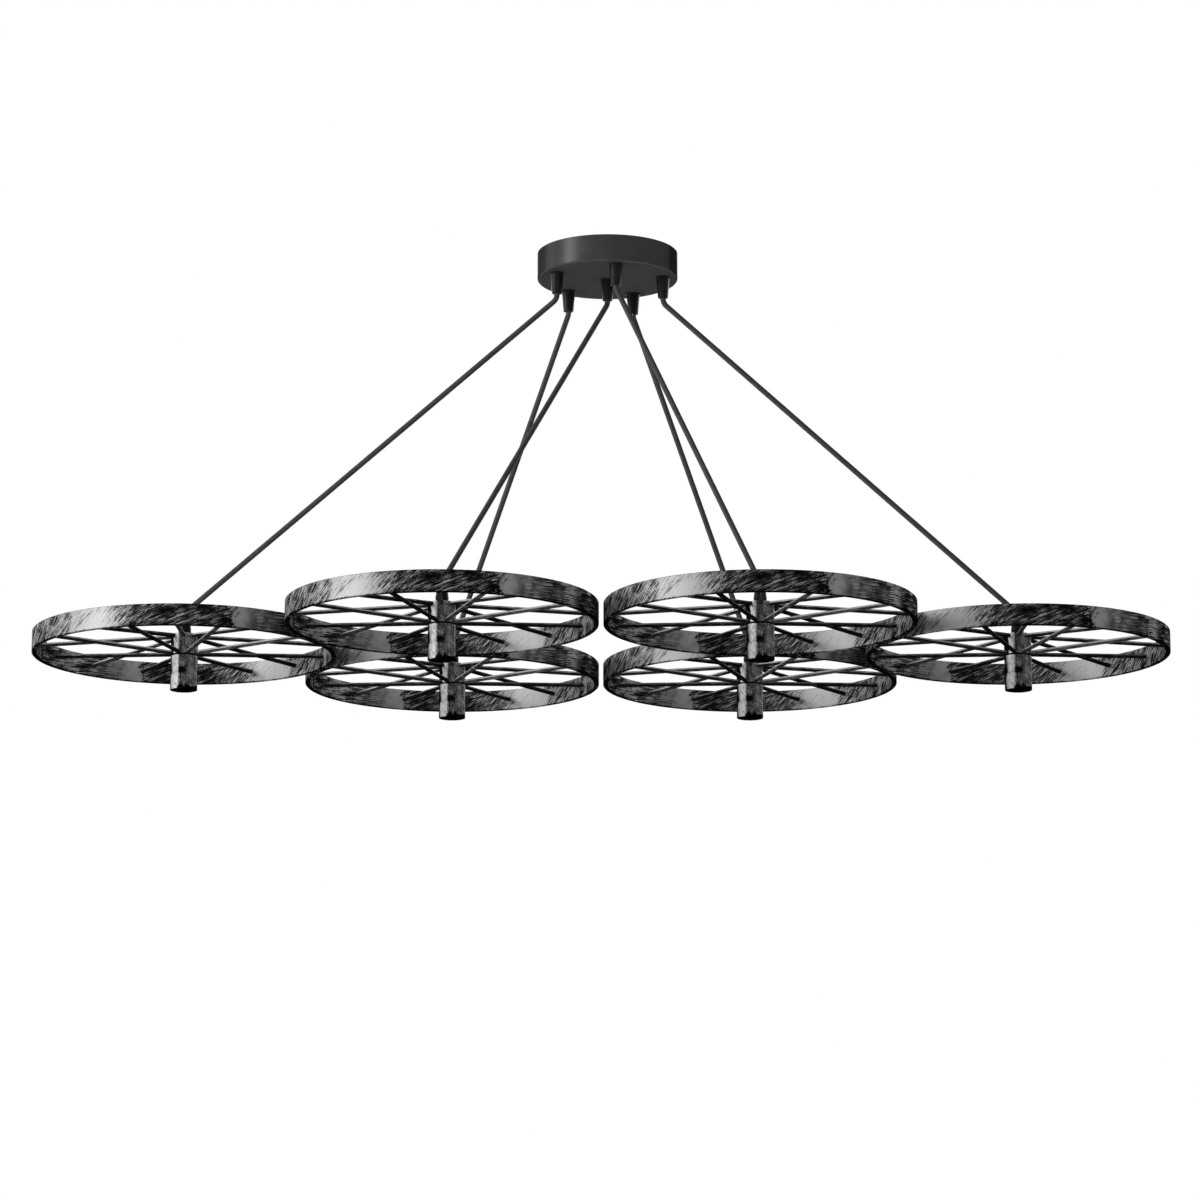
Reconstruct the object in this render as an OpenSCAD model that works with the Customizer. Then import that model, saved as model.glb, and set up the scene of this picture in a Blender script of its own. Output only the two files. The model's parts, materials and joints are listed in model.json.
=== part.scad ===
// Wagon wheel chandelier: six iron wheels in a close cluster, each with a lamp holder
// in its hub and each hung by its own cord from one round ceiling canopy.
// Millimetres. The origin is the centre of the ceiling face, +Z is up, +X runs along
// the long row of wheels and -Y is the front. Everything hangs below z = 0.

/* [Wheels] */
// Outside diameter of a wheel
wheel_d = 425; // [320:5:600]
// Height of the rim band
rim_h = 30; // [18:1:45]
// Thickness of the rim band
rim_t = 7; // [3:0.5:12]
// Chamfer along the rim's four edges
rim_edge = 0.8; // [0.2:0.1:1.4]
// Number of spokes in a wheel, which go in turn to the hub's upper and lower end
spoke_count = 16; // [8:4:24]
// Diameter of a spoke
spoke_d = 6; // [3:0.1:8]

/* [Cluster] */
// Gap between rims that lean on each other
rim_gap = 0.3; // [0.2:0.1:2]
// Gap between the three wheels on the left and the three on the right
middle_gap = 6; // [1:0.5:30]
// Height from the wheels' middle plane up to the ceiling
hang_height = 570; // [400:5:1200]
// How far the cluster hangs to the left of the canopy's centre
cluster_shift = 9.2; // [0:0.2:30]

/* [Hub] */
// Outside diameter of the hub and of the lamp cup under it
hub_d = 38; // [37.5:0.5:60]
// Height of the hub, half of it above the wheel's middle plane
hub_h = 30; // [24:1:50]
// Wall of the hub
hub_wall = 3; // [2:0.1:5]
// Thickness of the hub's top
hub_plate = 5; // [3:0.5:8]
// Distance from each end of the hub to the edge of the spokes that meet it there
spoke_inset = 0.3; // [0.2:0.1:3]
// Chamfer on the hub and on the lamp cup along the seam between them
seam_edge = 0.7; // [0.2:0.1:1]

/* [Lamp cup] */
// Wall of the lamp cup
cup_wall = 1.5; // [0.8:0.1:1.5]
// Length of the lamp cup below the hub
cup_len = 49; // [46:0.5:80]
// Rounding of the two edges at the cup's mouth
mouth_edge = 0.3; // [0.1:0.05:0.35]
// How far the lamp socket's face is set back from the cup's mouth
socket_setback = 10; // [5:0.5:12]
// Inside diameter of the socket's screw shell
shell_bore_d = 26.7; // [26.5:0.1:27]
// Wall of the screw shell
shell_wall = 0.45; // [0.3:0.05:0.8]
// Length of the screw shell
shell_len = 27; // [22:0.5:30]

/* [Cord grips] */
// Largest diameter of a canopy grip
canopy_grip_d = 20.2; // [18:0.1:26]
// Diameter of a canopy grip at its nose
canopy_nose_d = 14.6; // [14:0.1:18]
// Length of a canopy grip below the canopy
canopy_grip_len = 30.5; // [20:0.5:45]
// Largest diameter of a hub grip
hub_grip_d = 18.3; // [17:0.1:24]
// Diameter of a hub grip at its nose
hub_nose_d = 14.2; // [14:0.1:18]
// Height of a hub grip above the hub
hub_grip_len = 24; // [18:0.5:40]
// Height of the flange at the top of a canopy grip
grip_flange_h = 2.6; // [2.2:0.1:5]
// Rounding of a grip's flange and nose
grip_edge_r = 1; // [0.4:0.1:1]
// Diameter of the threaded tube on a canopy grip
canopy_thread_d = 13; // [10:0.5:16]
// Diameter of the threaded tube on a hub grip
hub_thread_d = 10; // [8:0.5:13]

/* [Cords] */
// Diameter of a cord
cord_d = 7.8; // [5:0.1:8.5]
// Radius of a cord's bends, along its middle
cord_bend_r = 15.6; // [12:0.1:40]
// Largest angle that a wheel swings out from the cluster
swing_angle = 15; // [0:1:15]
// Diameter of the leads inside the canopy
lead_d = 5; // [3:0.5:5.5]

/* [Canopy] */
// Outside diameter of the canopy
canopy_d = 200; // [200:5:300]
// Height of the canopy
canopy_h = 38; // [34:1:60]
// Thickness of the canopy's skirt
skirt_wall = 1.2; // [0.8:0.1:2]
// Thickness of the canopy's bottom plate
plate_t = 1.5; // [1:0.1:3]
// Radius of the canopy's bottom edge
canopy_edge_r = 2; // [1:0.1:4]
// Radius of the ring of five cord outlets
outlet_ring_r = 80; // [60:1:82]
// Angle from +X to the first cord outlet
outlet_turn = -9.6; // [-20:0.1:0]

/* [Ceiling bracket] */
// Width of the bracket strap
strap_w = 25; // [18:1:30]
// Thickness of the bracket strap
strap_t = 2; // [1.5:0.1:3]
// Depth of the tabs at the strap's ends
tab_depth = 20; // [16:1:24]
// Inner radius of the fold between the strap and a tab
fold_r = 1.5; // [0.5:0.1:3]
// Distance between the two ceiling screw holes
ceiling_hole_spacing = 120; // [110:5:150]
// Diameter of a ceiling screw hole
ceiling_hole_d = 5; // [4:0.1:6]
// Diameter of the supply cable hole
cable_hole_d = 16; // [10:1:20]
// Diameter of the canopy's side screws
side_screw_d = 4; // [3:0.5:5]
// Length of the canopy's side screws
side_screw_len = 8; // [6:0.5:12]

/* [Hidden] */
$fn = 96;

// Clearance between pieces that nest, and at a spoke's welded ends
nest_gap = 0.1;
// Running clearance of the hub on its threaded tube, round it and at its two ends
turn_gap = 0.08;
// Clearance round a cord in its grip, and round a lead in its grip's tube
cord_gap = 0.3;
lead_gap = 0.5;
// How far inside a grip's mouth the cord starts to flex
flex_depth = 5;
// Straight length of cord between the flex point and the bend
cord_stub = flex_depth + 0.5;

// The places in the cluster, and which of the five ring outlets feeds each one
PLACES = ["left", "right", "front_left", "front_right", "back_left", "back_right"];
OUTLET_STEP = [3, 0, "centre", 4, 2, 1];
ring_step = 360 / 5;

// Wheel centres: two triangles of touching rims, side by side
pitch = wheel_d + rim_gap;
half_x = (wheel_d + middle_gap) / 2;
half_y = pitch / 2;
end_x = half_x + sqrt(pitch * pitch - half_y * half_y);
WHEEL_XY = [
    [-end_x, 0], [end_x, 0],
    [-half_x, -half_y], [half_x, -half_y],
    [-half_x, half_y], [half_x, half_y]
];

rim_inner_r = wheel_d / 2 - rim_t;
spoke_pitch = 360 / spoke_count;

cord_r = cord_d / 2;
seat_r = cord_r + cord_gap;
flare_r = seat_r / cos(swing_angle) + flex_depth * tan(swing_angle);

canopy_bottom = -canopy_h;
top_flex_z = canopy_bottom - canopy_grip_len + flex_depth;
hub_flex_z = -hang_height + hub_h / 2 + hub_grip_len - flex_depth;

canopy_inner_r = canopy_d / 2 - skirt_wall;
// How far a canopy grip's threaded tube stands above the canopy's underside
canopy_thread_rise = 7;
canopy_thread_top = canopy_bottom + canopy_thread_rise;
// Step from a canopy grip's flange in to its tapered body
flange_step = 0.5;
// How much narrower a hub grip's foot is than its belly, and the belly's height above the foot
foot_step = 1.2;
belly_h = 7;
// A locknut's height, and the metal round its thread at the flats
nut_t = 3;
nut_land = 3;
// What a hub grip's threaded tube shows below its nut
thread_tail = 2;

hub_inner_r = hub_d / 2 - hub_wall;
hub_ceiling = hub_h / 2 - hub_plate;
edge_cut = 0.4;
cup_inner_r = hub_d / 2 - cup_wall;
cup_mouth_z = -hub_h / 2 - cup_len;
cup_plate = 2;
socket_top = -hub_h / 2 - cup_plate;
socket_face = cup_mouth_z + socket_setback;
shell_r = shell_bore_d / 2 + shell_wall;
// How far the screw shell's edge lies inside the socket's face
shell_recess = 1;
shell_face = socket_face + shell_recess;
contact_t = 2.5;
contact_r = 4;
wire_hole_r = 2.5;

// The tabs stand just inside the skirt, with their corners clear of its curve
tab_gap = 0.3;
tab_x = sqrt(pow(canopy_inner_r, 2) - pow(strap_w / 2, 2)) - tab_gap;
side_screw_z = -strap_t - tab_depth / 2;

// Terminal block under the strap
block_size = [30, 18, 13];
block_x = -35;
block_entry_z = -strap_t - block_size.z / 2;
block_entry_pitch = 10;
block_entry_r = lead_d / 2 - 1;
block_well_r = 2;
block_well_depth = block_size.z / 2 - 1;

function wheel_xy(i) = WHEEL_XY[i] - [cluster_shift, 0];
function outlet_xy(i) =
    OUTLET_STEP[i] == "centre" ? [0, 0]
    : outlet_ring_r * [cos(outlet_turn + ring_step * OUTLET_STEP[i]),
                       sin(outlet_turn + ring_step * OUTLET_STEP[i])];

// A cord runs down, bends, goes straight to its wheel and bends down again. These give
// the angle of its straight stretch from the vertical, that stretch's length, and the whole.
function cord_run(i) = norm(wheel_xy(i) - outlet_xy(i));
function cord_heading(i) =
    let (way = wheel_xy(i) - outlet_xy(i)) atan2(way.y, way.x);
cord_fall = top_flex_z - hub_flex_z - 2 * cord_stub;
function cord_straight(i) =
    sqrt(pow(cord_run(i) - 2 * cord_bend_r, 2) + pow(cord_fall, 2) - pow(2 * cord_bend_r, 2));
function cord_lean(i) =
    atan2(cord_run(i) - 2 * cord_bend_r, cord_fall) + atan2(2 * cord_bend_r, cord_straight(i));
function cord_length(i) =
    2 * cord_stub + 2 * cord_bend_r * cord_lean(i) * PI / 180 + cord_straight(i);

for (i = [0:5]) {
    echo(str("cord_", PLACES[i], " is ", round(cord_length(i)), " mm long"));
}

// Puts a wheel's own pieces, drawn round the wheel's centre, in the cluster
module at_wheel(i) {
    translate([wheel_xy(i).x, wheel_xy(i).y, -hang_height]) children();
}

module at_outlet(i) {
    translate([outlet_xy(i).x, outlet_xy(i).y, 0]) children();
}

// Points along an arc from one angle to another, both ends among them
function arc(x, y, r, from, to, steps = 4) =
    [for (k = [0:steps]) let (a = from + (to - from) * k / steps) [x + r * cos(a), y + r * sin(a)]];

// ---- wheels ----

module rim() {
    color("dimgray") rotate_extrude()
        translate([rim_inner_r, -rim_h / 2])
            chamfered_bar(rim_t, rim_h, rim_edge);
}

module chamfered_bar(w, h, edge) {
    polygon([
        [edge, 0], [w - edge, 0], [w, edge], [w, h - edge],
        [w - edge, h], [edge, h], [0, h - edge], [0, edge]
    ]);
}

// Round rods from the rim's middle to the hub, cut to the curve of what they are welded to
module spokes() {
    meet_z = hub_h / 2 - spoke_inset - spoke_d / 2;
    color("dimgray") for (k = [0:spoke_count - 1]) {
        rotate([0, 0, k * spoke_pitch]) spoke(k % 2 == 0 ? meet_z : -meet_z);
    }
}

module spoke(meet_z) {
    slope = atan2(meet_z, rim_inner_r - hub_d / 2);
    reach = (rim_inner_r - hub_d / 2) / cos(slope);
    // What the curves trim off at each end
    spare = spoke_d;
    intersection() {
        translate([rim_inner_r, 0, 0])
            rotate([0, -90 + slope, 0])
                translate([0, 0, -spare])
                    cylinder(h = reach + 2 * spare, d = spoke_d);
        difference() {
            cylinder(h = 2 * hub_h, r = rim_inner_r - nest_gap, center = true);
            cylinder(h = 3 * hub_h, r = hub_d / 2 + nest_gap, center = true);
        }
    }
}

// Turned drum, open below, whose top turns on the hub grip's threaded tube
module hub() {
    r = hub_d / 2;
    top = hub_h / 2;
    color("gray") difference() {
        rotate_extrude() polygon([
            [hub_inner_r, -top], [r - seam_edge, -top], [r, seam_edge - top], [r, top - edge_cut],
            [r - edge_cut, top], [0, top], [0, hub_ceiling], [hub_inner_r, hub_ceiling]
        ]);
        cylinder(h = top + 1, r = hub_thread_d / 2 + turn_gap);
    }
}

// Open-mouthed cup round the lamp socket, with a collar that fits up into the hub
module lamp_cup() {
    r = hub_d / 2;
    top = -hub_h / 2;
    collar_r = hub_inner_r - nest_gap;
    collar_h = 4;
    wires_r = 6;
    color("gray") rotate_extrude() polygon([
        [wires_r, top], [collar_r - cup_wall, top], [collar_r - cup_wall, top + collar_h],
        [collar_r, top + collar_h], [collar_r, top], [r - seam_edge, top], [r, top - seam_edge],
        [r, cup_mouth_z + mouth_edge], [r - mouth_edge, cup_mouth_z],
        [cup_inner_r + mouth_edge, cup_mouth_z], [cup_inner_r, cup_mouth_z + mouth_edge],
        [cup_inner_r, socket_top], [wires_r, socket_top]
    ]);
}

// Moulded body that holds the screw shell, waisted between a band at each end
module lamp_socket() {
    body_r = cup_inner_r - nest_gap;
    bore_r = shell_r + nest_gap;
    waist = 1.2;
    band_h = 8;
    bevel_h = 1;
    face_edge = 0.5;
    lead_in = 0.8;
    floor_z = shell_face + shell_len + contact_t;
    wire_slot_r = 1.5;
    wire_slot_x = contact_r + 4;
    color("black") difference() {
        rotate_extrude() polygon([
            [wire_hole_r, socket_top], [body_r, socket_top], [body_r, socket_top - band_h],
            [body_r - waist, socket_top - band_h - bevel_h],
            [body_r - waist, socket_face + band_h + bevel_h], [body_r, socket_face + band_h],
            [body_r, socket_face + face_edge], [body_r - face_edge, socket_face],
            [bore_r + lead_in, socket_face], [bore_r, socket_face + lead_in],
            [bore_r, floor_z], [wire_hole_r, floor_z]
        ]);
        // Slots for the two wires, beside the centre contact
        for (side = [-1, 1])
            translate([side * wire_slot_x, 0, floor_z - 1])
                cylinder(h = socket_top - floor_z + 2, r = wire_slot_r);
    }
}

// Screw shell and the centre contact on the socket's floor
module socket_contacts() {
    contact_taper = 1.5;
    color("goldenrod") {
        translate([0, 0, shell_face]) difference() {
            cylinder(h = shell_len, r = shell_r);
            translate([0, 0, -1]) cylinder(h = shell_len + 2, d = shell_bore_d);
        }
        translate([0, 0, shell_face + shell_len])
            cylinder(h = contact_t, r1 = contact_r - contact_taper, r2 = contact_r);
    }
}

// ---- cords and their grips ----

// The flared mouth that a cord flexes in, opening upwards with its face at z = 0
module cord_mouth() {
    spare = 0.01;
    translate([0, 0, -flex_depth]) {
        sphere(r = seat_r);
        cylinder(h = flex_depth + 1, r = seat_r);
        translate([0, 0, -spare])
            cylinder(h = flex_depth + 2 * spare, r1 = seat_r / cos(swing_angle), r2 = flare_r);
    }
}

// Tapered moulding under the canopy, with a round-edged flange at its top and a threaded
// tube up through the plate
module canopy_grip(i) {
    r = canopy_grip_d / 2;
    nose_r = canopy_nose_d / 2;
    nose_z = canopy_bottom - canopy_grip_len;
    thread_r = canopy_thread_d / 2;
    edge = grip_edge_r;
    flange_z = canopy_bottom - grip_flange_h;
    color([0.05, 0.05, 0.05]) at_outlet(i) difference() {
        rotate_extrude() polygon(concat(
            [[0, canopy_thread_top], [thread_r, canopy_thread_top], [thread_r, canopy_bottom]],
            arc(r - edge, canopy_bottom - edge, edge, 90, 0),
            arc(r - edge, flange_z + edge, edge, 0, -60),
            [[r - flange_step, flange_z]],
            arc(nose_r - edge, nose_z + edge, edge, 0, -90),
            [[0, nose_z]]
        ));
        translate([0, 0, nose_z]) mirror([0, 0, 1]) cord_mouth();
        translate([0, 0, nose_z + flex_depth])
            cylinder(h = canopy_grip_len + canopy_h, r = lead_d / 2 + lead_gap);
    }
}

// Barrel-shaped moulding on the hub, with a threaded tube down through the hub's top and
// a nut on it that carries the wheel
module hub_grip() {
    r = hub_grip_d / 2;
    nose_r = hub_nose_d / 2;
    thread_r = hub_thread_d / 2;
    foot_z = hub_h / 2 + turn_gap;
    nose_z = hub_h / 2 + hub_grip_len;
    foot_r = r - foot_step;
    nut_top = hub_ceiling - turn_gap;
    thread_end = nut_top - nut_t - thread_tail;
    color([0.05, 0.05, 0.05]) difference() {
        rotate_extrude() polygon(concat(
            [[0, thread_end], [thread_r, thread_end], [thread_r, foot_z]],
            [for (t = [0:0.25:1]) [foot_r + foot_step * sin(90 * t), foot_z + belly_h * t]],
            arc(nose_r - grip_edge_r, nose_z - grip_edge_r, grip_edge_r, 0, 90),
            [[0, nose_z]]
        ));
        translate([0, 0, nose_z]) cord_mouth();
        translate([0, 0, thread_end - 1]) cylinder(h = nose_z - thread_end, r = wire_hole_r);
    }
    color("silver") translate([0, 0, nut_top - nut_t]) locknut(thread_r);
}

// Hexagon nut on a thread of radius r, standing on z = 0
module locknut(r) {
    difference() {
        cylinder(h = nut_t, r = (r + nut_land) / cos(30), $fn = 6);
        translate([0, 0, -1]) cylinder(h = nut_t + 2, r = r + nest_gap);
    }
}

// One ring of points round a centre, from two directions square to the tube's way
function ring(centre, u, v, r, sides) =
    [for (s = [0:sides - 1])
        let (a = 360 * s / sides) centre + r * (cos(a) * u + sin(a) * v)];

// A closed tube through rings of points, from the first ring to the last
module skinned(rings) {
    sides = len(rings[0]);
    last = (len(rings) - 1) * sides;
    faces = concat(
        [[for (s = [0:sides - 1]) s]],
        [for (k = [0:len(rings) - 2]) for (s = [0:sides - 1])
            let (a = k * sides + s, b = k * sides + (s + 1) % sides)
            each [[a, a + sides, b], [b, a + sides, b + sides]]],
        [[for (s = [sides - 1:-1:0]) last + s]]
    );
    polyhedron([for (r = rings) each r], faces);
}

// A cord's upper end in its own plane, as [across, height, lean, radius]: a rounded tip
// that turns in the grip's mouth, the straight stub, and the bend
cord_sides = 12;
bend_steps = 3;
function cord_end(lean) = concat(
    [[0, 0.8 * cord_r, 0, 0.6 * cord_r], [0, 0, 0, cord_r], [0, -cord_stub, 0, cord_r]],
    [for (k = [1:bend_steps])
        let (a = lean * k / bend_steps)
        [cord_bend_r * (1 - cos(a)), -cord_stub - cord_bend_r * sin(a), a, cord_r]]
);

// From the flex point in its canopy grip to the flex point in its hub grip. The lower
// end is the upper one turned half round.
module cord(i) {
    upper = cord_end(cord_lean(i));
    foot = [cord_run(i), hub_flex_z - top_flex_z];
    lower = [for (k = [len(upper) - 1:-1:0])
        [foot.x - upper[k][0], foot.y - upper[k][1], upper[k][2], upper[k][3]]];
    color([0.16, 0.16, 0.16])
        translate([outlet_xy(i).x, outlet_xy(i).y, top_flex_z])
            rotate([0, 0, cord_heading(i)])
                skinned([for (e = concat(upper, lower))
                    ring([e[0], 0, e[1]], [0, 1, 0], [cos(e[2]), 0, sin(e[2])], e[3], cord_sides)]);
}

// ---- canopy ----

// Spun pan with a round bottom edge
module canopy_shell() {
    edge = canopy_edge_r;
    inner_edge = max(edge - skirt_wall, 0.5);
    plate_top = canopy_bottom + plate_t;
    color([0.1, 0.1, 0.1]) difference() {
        rotate_extrude() polygon(concat(
            [[0, canopy_bottom]],
            arc(canopy_d / 2 - edge, canopy_bottom + edge, edge, -90, 0, 6),
            [[canopy_d / 2, 0], [canopy_inner_r, 0]],
            arc(canopy_inner_r - inner_edge, plate_top + inner_edge, inner_edge, 0, -90, 3),
            [[0, plate_top]]
        ));
        for (i = [0:5])
            at_outlet(i) translate([0, 0, canopy_bottom - 1])
                cylinder(h = plate_t + 2, r = canopy_thread_d / 2 + nest_gap);
        for (side = [0, 180])
            rotate([0, 0, side]) side_bore(side_screw_d / 2 + nest_gap);
    }
}

// A bore along +X through the skirt and the tab behind it
module side_bore(r) {
    translate([tab_x - 2 * strap_t, 0, side_screw_z])
        rotate([0, 90, 0]) cylinder(h = canopy_d / 2 - tab_x + 2 * strap_t + 1, r = r);
}

// A shape that hangs from y = 0, w wide and h deep, with round upper corners
module round_shouldered(w, h, r) {
    translate([-w / 2, -h]) square([w, h - r]);
    translate([r - w / 2, -h]) square([w - 2 * r, h]);
    for (side = [-1, 1])
        translate([side * (w / 2 - r), -r]) circle(r = r);
}

// Flat strap whose ends are folded down into tabs
module ceiling_bracket() {
    color("silver") difference() {
        rotate([90, 0, 0]) linear_extrude(height = strap_w, center = true) difference() {
            round_shouldered(2 * tab_x, strap_t + tab_depth, fold_r + strap_t);
            translate([0, -strap_t])
                round_shouldered(2 * (tab_x - strap_t), tab_depth + 1, fold_r);
        }
        for (side = [-1, 1])
            translate([side * ceiling_hole_spacing / 2, 0, -strap_t - 1])
                cylinder(h = strap_t + 2, d = ceiling_hole_d);
        translate([0, 0, -strap_t - 1]) cylinder(h = strap_t + 2, d = cable_hole_d);
        for (side = [0, 180])
            rotate([0, 0, side]) side_bore(side_screw_d / 2 + turn_gap);
    }
}

// Headless screws, flush with the skirt, with a hexagon socket
module side_screws() {
    key_r = side_screw_d * 0.3;
    key_depth = 2;
    color("gray") for (side = [0, 180])
        rotate([0, 0, side])
            translate([canopy_d / 2 - nest_gap, 0, side_screw_z])
                rotate([0, -90, 0]) difference() {
                    cylinder(h = side_screw_len, d = side_screw_d);
                    translate([0, 0, -1]) cylinder(h = key_depth + 1, r = key_r, $fn = 6);
                }
}

module grip_locknuts() {
    color("silver") for (i = [0:5])
        at_outlet(i) translate([0, 0, canopy_bottom + plate_t]) locknut(canopy_thread_d / 2);
}

// Block with three entries on each side and a screw well over each
module terminal_block() {
    color("ivory") difference() {
        translate([block_x - block_size.x / 2, -block_size.y / 2, -strap_t - block_size.z])
            cube(block_size);
        for (k = [-1:1]) {
            translate([block_x + k * block_entry_pitch, 0, block_entry_z])
                rotate([90, 0, 0])
                    cylinder(h = block_size.y + 2, r = block_entry_r, center = true);
            for (side = [-1, 1])
                translate([block_x + k * block_entry_pitch, side * block_size.y / 4,
                           -strap_t - block_size.z - 1])
                    cylinder(h = block_well_depth + 1, r = block_well_r);
        }
    }
}

// The leads from the grips to the block, each straight up out of its grip and then on a
// curve that meets the block square on. Each entry: place, which block entry along X, and
// the block's side.
LEAD_ENDS = [["left", -1, -1], ["front_right", 0, -1], ["right", 1, -1],
             ["back_left", -1, 1], ["back_right", 0, 1], ["front_left", 1, 1]];
lead_rings = 7;
lead_sides = 8;
// How far a lead starts down inside its grip's tube, and how near its curve comes to the strap
lead_depth = 2;
lead_headroom = 3;
// How far from the block a lead turns square to it. One outlet lies too near for the longer one.
lead_reach = 30;
near_lead_reach = 14;

function lead_controls(end) =
    let (
        start = outlet_xy(search([end[0]], PLACES)[0]),
        entry = [block_x + end[1] * block_entry_pitch, end[2] * block_size.y / 2, block_entry_z],
        lift = [0, 0, -strap_t - lead_headroom - canopy_thread_top],
        reach = [0, end[2] * (end[0] == "front_left" ? near_lead_reach : lead_reach), 0]
    )
    [[start.x, start.y, canopy_thread_top], [start.x, start.y, canopy_thread_top] + lift,
     entry + reach, entry];

function on_curve(c, t) =
    pow(1 - t, 3) * c[0] + 3 * pow(1 - t, 2) * t * c[1]
    + 3 * (1 - t) * t * t * c[2] + pow(t, 3) * c[3];
function along_curve(c, t) =
    pow(1 - t, 2) * (c[1] - c[0]) + 2 * (1 - t) * t * (c[2] - c[1]) + t * t * (c[3] - c[2]);
function unit(v) = v / norm(v);
// A direction square to each ring's way, carried from ring to ring without twisting
function carried(ways, k) =
    k == 0 ? [1, 0, 0]
    : let (last = carried(ways, k - 1)) unit(last - (last * ways[k]) * ways[k]);

module swept_lead(c) {
    steps = [for (k = [0:lead_rings - 1]) k / (lead_rings - 1)];
    ways = [for (t = steps) unit(along_curve(c, t))];
    skinned(concat(
        [ring(c[0] - [0, 0, lead_depth], [1, 0, 0], [0, 1, 0], lead_d / 2, lead_sides)],
        [for (k = [0:lead_rings - 1])
            let (u = carried(ways, k))
            ring(on_curve(c, steps[k]), u, cross(ways[k], u), lead_d / 2, lead_sides)]
    ));
}

module lamp_leads() {
    color([0.1, 0.1, 0.1]) for (end = LEAD_ENDS) swept_lead(lead_controls(end));
}

canopy_shell();
ceiling_bracket();
side_screws();
grip_locknuts();
terminal_block();
lamp_leads();
for (i = [0:5]) {
    at_wheel(i) rim();
    at_wheel(i) spokes();
    at_wheel(i) hub();
    at_wheel(i) lamp_cup();
    at_wheel(i) lamp_socket();
    at_wheel(i) socket_contacts();
    at_wheel(i) hub_grip();
    cord(i);
    canopy_grip(i);
}
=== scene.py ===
import json
import math

import bmesh
import bpy
from bpy.props import FloatProperty, FloatVectorProperty, IntProperty, PointerProperty
from mathutils import Matrix, Vector


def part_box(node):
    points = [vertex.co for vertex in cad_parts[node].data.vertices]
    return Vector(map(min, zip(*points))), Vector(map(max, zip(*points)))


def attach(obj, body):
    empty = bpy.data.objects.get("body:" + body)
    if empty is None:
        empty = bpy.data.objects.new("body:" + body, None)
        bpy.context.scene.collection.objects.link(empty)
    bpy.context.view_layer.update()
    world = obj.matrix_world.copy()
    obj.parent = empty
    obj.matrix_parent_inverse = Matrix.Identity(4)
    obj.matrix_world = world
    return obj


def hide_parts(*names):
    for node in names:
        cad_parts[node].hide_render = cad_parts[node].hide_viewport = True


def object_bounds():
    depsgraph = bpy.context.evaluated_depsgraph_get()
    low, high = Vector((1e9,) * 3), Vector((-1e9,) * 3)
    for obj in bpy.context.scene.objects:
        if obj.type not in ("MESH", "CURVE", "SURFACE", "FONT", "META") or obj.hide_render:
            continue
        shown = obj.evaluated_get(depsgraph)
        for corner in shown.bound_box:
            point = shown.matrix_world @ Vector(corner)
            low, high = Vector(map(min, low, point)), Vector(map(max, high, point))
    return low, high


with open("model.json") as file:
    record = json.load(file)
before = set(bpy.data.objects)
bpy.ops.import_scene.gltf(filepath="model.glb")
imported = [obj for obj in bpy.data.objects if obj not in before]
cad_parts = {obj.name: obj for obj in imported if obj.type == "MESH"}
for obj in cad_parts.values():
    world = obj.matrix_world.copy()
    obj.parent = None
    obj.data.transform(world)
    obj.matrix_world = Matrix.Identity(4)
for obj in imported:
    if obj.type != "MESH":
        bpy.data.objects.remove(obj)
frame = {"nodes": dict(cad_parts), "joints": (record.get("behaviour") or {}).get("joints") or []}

cad_low, cad_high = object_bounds()

bl_info = {
    "name": "Wagon Wheel Chandelier",
    "version": (1, 0, 0),
    "blender": (4, 5, 0),
    "location": "View3D > Sidebar > Chandelier",
    "description": "Finishes, cords and small parts for a chandelier of iron wheels",
    "category": "Object",
}

MM = 0.001
PLACES = [j["name"][len("turn_"):] for j in frame["joints"] if j["name"].startswith("turn_")]
JOINTS = {j["name"]: j for j in frame["joints"]}


# ---- where things are, from the frame ----

def joint_place(name):
    """The point that a joint turns about, in metres."""
    return Vector(JOINTS[name]["pos_m"])


def wheel_centre(place):
    """Centre of a wheel's middle plane."""
    return joint_place("turn_" + place)


def half_width(node):
    """Outer radius of a round CAD node."""
    low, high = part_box(node)
    return (high.x - low.x) / 2


RIM_RADIUS = half_width("rim_left")
HUB_RADIUS = half_width("hub_left")
HALF_HEIGHT = (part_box("rim_left")[1].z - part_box("rim_left")[0].z) / 2
CUP_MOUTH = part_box("lamp_cup_left")[0].z - joint_place("turn_left").z
ENTRY_PITCH = 10 * MM
# Each lead's entry of the terminal block along X, the block's side, and how far out it bends
LEAD_ENDS = [("left", -1, -1, 30 * MM), ("front_right", 0, -1, 30 * MM),
             ("right", 1, -1, 30 * MM), ("back_left", -1, 1, 30 * MM),
             ("back_right", 0, 1, 30 * MM), ("front_left", 1, 1, 14 * MM)]
# Radius, height and slot width of a terminal screw's head, and its place over the block's foot
SCREW_RADIUS, SCREW_HEIGHT, SCREW_SLOT, SCREW_RISE = 1.8 * MM, 1.6 * MM, 0.5 * MM, 4.7 * MM


# ---- settings ----

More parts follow.
